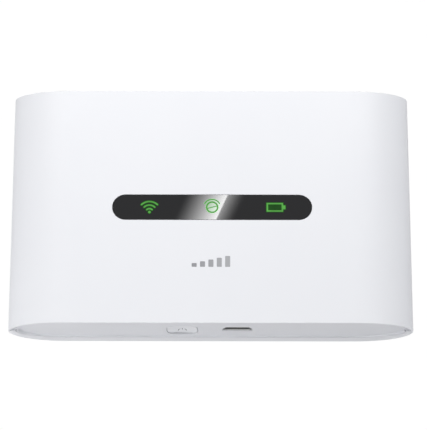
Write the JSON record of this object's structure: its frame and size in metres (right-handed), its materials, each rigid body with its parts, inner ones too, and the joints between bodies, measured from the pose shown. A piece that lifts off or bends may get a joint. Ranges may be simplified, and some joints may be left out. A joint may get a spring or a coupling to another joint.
{
  "type": "mobile hotspot",
  "caption": "Pocket mobile hotspot: flat body with rounded sides, indicator window, power button and charging port, and a removable rear cover, battery and cards.",
  "frame": {"origin": "middle of the rear face that the body lies on", "axes": "+X across the body to the right seen from the front, +Y from the port end to the far end, +Z out of the front face"},
  "size_m": [0.1064, 0.0654, 0.016],
  "materials": {
    "shell_white": "satin gloss, injection-moulded",
    "cover_white": "satin gloss, injection-moulded",
    "frame_white": "satin, injection-moulded",
    "button_white": "satin gloss",
    "lens_black": "polished acrylic, printed black behind",
    "tape_black": "foam adhesive tape",
    "symbol_green": "translucent, lit from behind",
    "mark_grey": "pad-printed ink",
    "diffuser": "frosted film",
    "baffle": "matt",
    "led": "clear epoxy over phosphor",
    "print_paper": "matt label",
    "screw_steel": "zinc plated",
    "board_green": "solder mask over glass fibre",
    "can_steel": "tin plated",
    "chip_black": "moulded epoxy",
    "passive_tan": "matt",
    "graphite": "graphite sheet",
    "port_steel": "nickel plated",
    "insulator_black": "moulded nylon",
    "contact_gold": "gold plated",
    "switch_grey": "satin",
    "button_grey": "satin",
    "card_pale": "satin",
    "card_black": "satin",
    "cell_grey": "film wrap",
    "copper_film": "copper on polyimide film"
  },
  "bodies": {
    "housing": {"front_shell": "shell_white", "window_lens": "lens_black", "lens_tape": "tape_black", "wireless_symbol": "symbol_green", "network_symbol": "symbol_green", "charge_symbol": "symbol_green", "signal_mark": "mark_grey", "diffuser_strip": "diffuser", "light_baffle": "baffle", "status_leds": "led", "mid_frame": "frame_white", "bay_label": "print_paper", "case_screws": "screw_steel", "main_board": "board_green", "modem_shield": "can_steel", "radio_shield": "can_steel", "wifi_shield": "can_steel", "power_shield": "can_steel", "board_chips": "chip_black", "board_passives": "passive_tan", "heat_spreader": "graphite", "usb_shell": "port_steel", "usb_tongue": "insulator_black", "usb_contacts": "contact_gold", "power_switch": "switch_grey", "reset_switch": "switch_grey", "sim_base": "insulator_black", "sim_cover": "can_steel", "sim_contacts": "contact_gold", "memory_base": "insulator_black", "memory_cover": "can_steel", "memory_contacts": "contact_gold", "battery_terminal": "insulator_black", "terminal_springs": "contact_gold", "antenna_carrier": "baffle", "main_antenna": "copper_film", "diversity_antenna": "copper_film", "wifi_antenna": "copper_film", "antenna_pins": "contact_gold"},
    "power_button_body": {"power_button": "button_white", "switch_plunger": "insulator_black"},
    "reset_button_body": {"reset_button": "button_grey"},
    "rear_cover_body": {"rear_cover": "cover_white"},
    "battery_body": {"battery_cell": "cell_grey", "battery_cap": "insulator_black", "battery_pads": "contact_gold", "battery_label": "print_paper"},
    "sim_card_body": {"sim_card": "card_pale"},
    "memory_card_body": {"memory_card": "card_black"}
  },
  "joints": [
    {"name": "power_press", "type": "slide", "parent": "housing", "child": "power_button_body", "axis": [0, 1, 0], "range_m": [0, 0.00035], "stiffness_N_per_m": 2000},
    {"name": "reset_press", "type": "slide", "parent": "housing", "child": "reset_button_body", "axis": [0, 0, 1], "range_m": [0, 0.00025], "stiffness_N_per_m": 1500},
    {"name": "cover_release", "type": "slide", "parent": "housing", "child": "rear_cover_body", "axis": [0, 0, -1], "range_m": [0, 0.03]},
    {"name": "battery_release", "type": "slide", "parent": "housing", "child": "battery_body", "axis": [0, 0, -1], "range_m": [0, 0.012]},
    {"name": "sim_slide", "type": "slide", "parent": "housing", "child": "sim_card_body", "axis": [0, -1, 0], "range_m": [0, 0.0135]},
    {"name": "memory_slide", "type": "slide", "parent": "housing", "child": "memory_card_body", "axis": [0, -1, 0], "range_m": [0, 0.0135]}
  ],
  "couplings": [
    {"joint": "battery_release", "follows": "cover_release", "ratio": 0.4}
  ]
}
